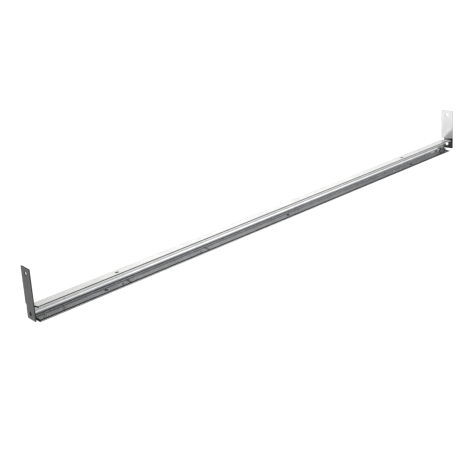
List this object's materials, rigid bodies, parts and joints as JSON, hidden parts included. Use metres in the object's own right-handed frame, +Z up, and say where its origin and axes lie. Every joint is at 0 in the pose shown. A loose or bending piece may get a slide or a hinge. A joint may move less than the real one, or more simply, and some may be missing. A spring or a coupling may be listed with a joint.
{
  "type": "drawer slide",
  "caption": "Telescoping steel drawer slide: an inner C channel runs inside an outer lipped C channel, each with one upturned end tab with screw holes.",
  "frame": {"origin": "centre of the closed slide's bounding box, on its underside", "axes": "+X is the way the drawer member pulls out, along the rail's length; -Y is the open side of both channels; +Z is up, the way the end tabs stand"},
  "size_m": [0.6148, 0.0144, 0.0482],
  "materials": {
    "cabinet_steel": "bright galvanised sheet, faint rolling lines",
    "drawer_steel": "bright galvanised sheet, faint rolling lines",
    "rivet_steel": "zinc plated",
    "stop_steel": "zinc plated, sheared edges",
    "glide_acetal": "natural acetal, slightly waxy",
    "bumper_rubber": "matt black rubber"
  },
  "bodies": {
    "cabinet_member": {"cabinet_channel": "cabinet_steel", "front_glide": "glide_acetal", "front_glide_rivets": "rivet_steel", "travel_stop": "stop_steel", "travel_stop_rivet": "rivet_steel", "closing_bumper": "bumper_rubber"},
    "drawer_member": {"drawer_channel": "drawer_steel", "rear_glide": "glide_acetal", "rear_glide_rivets": "rivet_steel"}
  },
  "joints": [
    {"name": "drawer_slide", "type": "slide", "parent": "cabinet_member", "child": "drawer_member", "axis": [1, 0, 0], "range_m": [0, 0.4327]}
  ]
}
